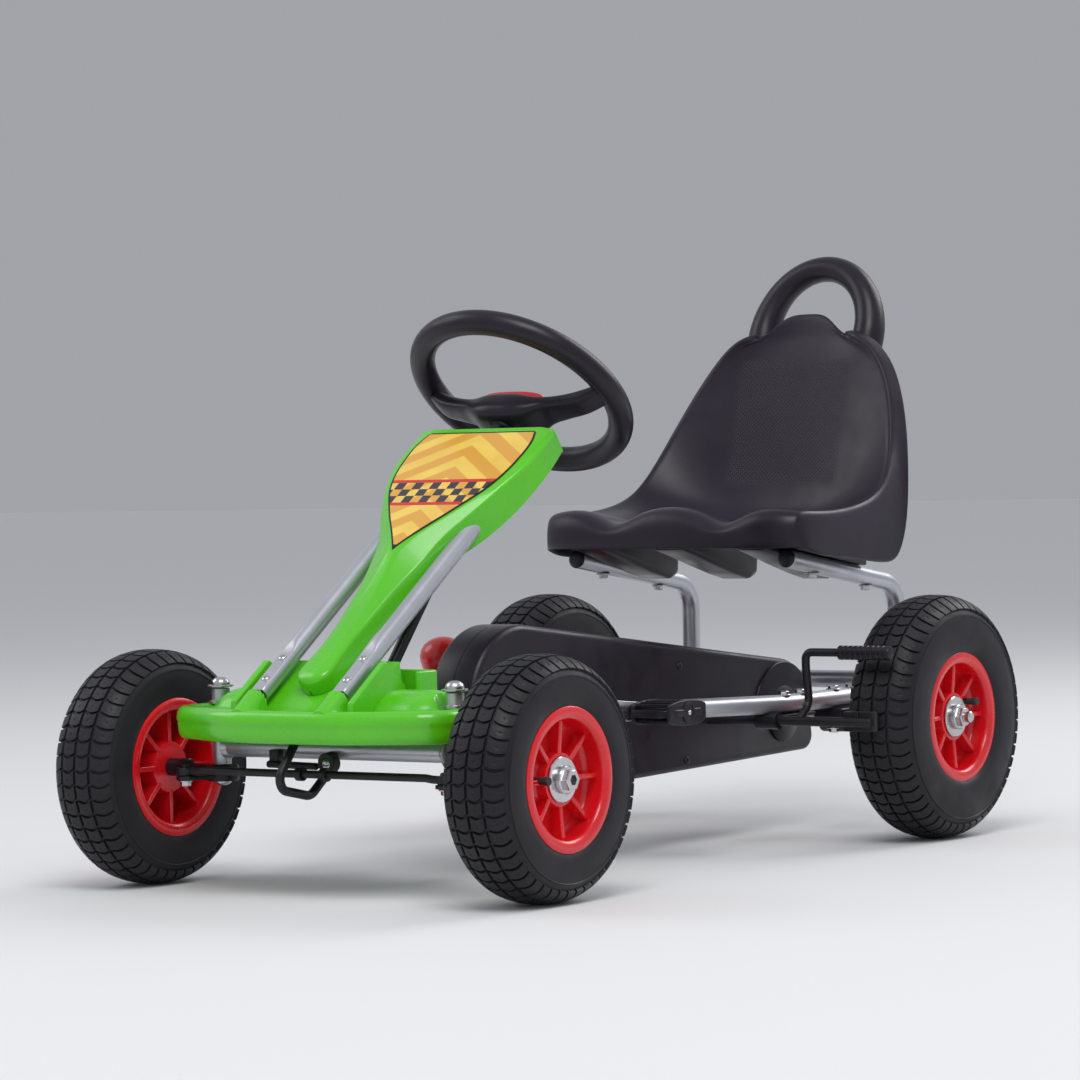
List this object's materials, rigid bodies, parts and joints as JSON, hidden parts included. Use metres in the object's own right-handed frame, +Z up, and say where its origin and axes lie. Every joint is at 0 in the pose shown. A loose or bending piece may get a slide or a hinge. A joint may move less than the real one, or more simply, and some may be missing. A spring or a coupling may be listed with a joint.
{
  "type": "pedal go-kart",
  "caption": "Child's pedal go-kart with a chain drive, steered front wheels, bucket seat, fairing, hand brake and drive lever.",
  "frame": {"origin": "on the ground under the middle of the kart's outer box", "axes": "+Z up, the kart faces -Y, +X is the driver's left"},
  "size_m": [0.595, 1.0448, 0.6375],
  "materials": {
    "tyre_rubber": "matt black rubber",
    "red_plastic": "glossy red plastic",
    "green_plastic": "glossy lime green plastic",
    "black_plastic": "satin black plastic",
    "silver_paint": "silver powder coat",
    "black_steel": "black coated steel",
    "bright_zinc": "bright zinc plate",
    "printed_sheet": "printed film",
    "pad_rubber": "hard rubber"
  },
  "bodies": {
    "frame": {"front_beam": "silver_paint", "steering_stop": "black_steel", "tower_tube_left": "silver_paint", "tower_tube_right": "silver_paint", "tower_cover": "green_plastic", "panel_decal": "printed_sheet", "front_tray": "green_plastic", "rail_left": "silver_paint", "rail_right": "silver_paint", "rail_plug_left": "black_plastic", "rail_plug_right": "black_plastic", "rear_cross_tube": "silver_paint", "crank_bearing_left": "black_plastic", "crank_bearing_right": "black_plastic", "axle_bearing_left": "black_plastic", "axle_bearing_right": "black_plastic", "chain": "black_steel", "chain_cover_left": "black_plastic", "chain_cover_right": "black_plastic", "brake_bracket_left": "black_steel", "brake_bracket_right": "black_steel", "gear_lever_bracket": "black_plastic", "seat": "black_plastic", "steering_bush": "black_plastic"},
    "steering": {"steering_shaft": "black_steel", "steering_wheel": "black_plastic", "steering_hub_cap": "red_plastic"},
    "knuckle_left": {"knuckle_left": "black_steel", "kingpin_cap_left": "bright_zinc", "wheel_nut_front_left": "bright_zinc"},
    "knuckle_right": {"knuckle_right": "black_steel", "kingpin_cap_right": "bright_zinc", "wheel_nut_front_right": "bright_zinc"},
    "tie_rod": {"tie_rod": "black_steel"},
    "front_wheel_left": {"tyre_front_left": "tyre_rubber", "rim_front_left": "red_plastic", "hub_bush_front_left": "black_plastic"},
    "front_wheel_right": {"tyre_front_right": "tyre_rubber", "rim_front_right": "red_plastic", "hub_bush_front_right": "black_plastic"},
    "rear_axle": {"rear_axle": "bright_zinc", "rear_sprocket": "black_steel", "tyre_rear_left": "tyre_rubber", "rim_rear_left": "red_plastic", "hub_bush_rear_left": "black_plastic", "wheel_nut_rear_left": "bright_zinc", "wheel_nut_rear_right": "bright_zinc"},
    "rear_wheel_right": {"tyre_rear_right": "tyre_rubber", "rim_rear_right": "red_plastic", "hub_bush_rear_right": "black_plastic"},
    "crank": {"crank": "bright_zinc", "chainring": "black_steel"},
    "pedal_left": {"pedal_left": "black_plastic"},
    "pedal_right": {"pedal_right": "black_plastic"},
    "brake": {"brake_bar": "black_steel", "brake_grip": "black_plastic", "brake_pad_left": "pad_rubber", "brake_pad_right": "pad_rubber"},
    "gear_lever": {"gear_lever": "black_steel", "gear_knob": "red_plastic"}
  },
  "joints": [
    {"name": "knuckle_left_turn", "type": "hinge", "parent": "frame", "child": "knuckle_left", "pos_m": [0.145, -0.40822, 0.1175], "axis": [0, 0, 1], "range_deg": [-18, 18]},
    {"name": "knuckle_right_turn", "type": "hinge", "parent": "frame", "child": "knuckle_right", "pos_m": [-0.145, -0.40822, 0.1175], "axis": [0, 0, 1], "range_deg": [-18.2, 18.2]},
    {"name": "steering_turn", "type": "hinge", "parent": "frame", "child": "steering", "pos_m": [0, -0.39271, 0.1274], "axis": [0, 0.6455, 0.7638], "range_deg": [-20, 20]},
    {"name": "tie_rod_swing", "type": "hinge", "parent": "knuckle_left", "child": "tie_rod", "pos_m": [0.161, -0.44622, 0.1175], "axis": [0, 0, 1], "range_deg": [-16.5, 16.5]},
    {"name": "front_wheel_left_spin", "type": "hinge", "parent": "knuckle_left", "child": "front_wheel_left", "pos_m": [0.24, -0.40422, 0.1175], "axis": [1, 0, 0], "continuous": true},
    {"name": "front_wheel_right_spin", "type": "hinge", "parent": "knuckle_right", "child": "front_wheel_right", "pos_m": [-0.24, -0.40422, 0.1175], "axis": [1, 0, 0], "continuous": true},
    {"name": "rear_axle_spin", "type": "hinge", "parent": "frame", "child": "rear_axle", "pos_m": [0, 0.29978, 0.13], "axis": [1, 0, 0], "continuous": true},
    {"name": "rear_wheel_right_spin", "type": "hinge", "parent": "rear_axle", "child": "rear_wheel_right", "pos_m": [-0.253, 0.29978, 0.13], "axis": [1, 0, 0], "continuous": true},
    {"name": "crank_spin", "type": "hinge", "parent": "frame", "child": "crank", "pos_m": [0, -0.17022, 0.165], "axis": [1, 0, 0], "continuous": true},
    {"name": "pedal_left_spin", "type": "hinge", "parent": "crank", "child": "pedal_left", "pos_m": [0.142, -0.04263, 0.15474], "axis": [1, 0, 0], "continuous": true},
    {"name": "pedal_right_spin", "type": "hinge", "parent": "crank", "child": "pedal_right", "pos_m": [-0.142, -0.29781, 0.17527], "axis": [1, 0, 0], "continuous": true},
    {"name": "brake_pull", "type": "hinge", "parent": "frame", "child": "brake", "pos_m": [0, 0.15378, 0.1328], "axis": [-1, 0, 0], "range_deg": [0, 6]},
    {"name": "gear_lever_throw", "type": "hinge", "parent": "frame", "child": "gear_lever", "pos_m": [-0.08445, -0.11716, 0.16544], "axis": [1, 0, 0], "range_deg": [-15, 15]}
  ],
  "couplings": [
    {"joint": "knuckle_right_turn", "follows": "knuckle_left_turn", "ratio": 1},
    {"joint": "steering_turn", "follows": "knuckle_left_turn", "ratio": 1.1},
    {"joint": "tie_rod_swing", "follows": "knuckle_left_turn", "ratio": -0.9015},
    {"joint": "crank_spin", "follows": "rear_axle_spin", "ratio": 0.58333}
  ]
}
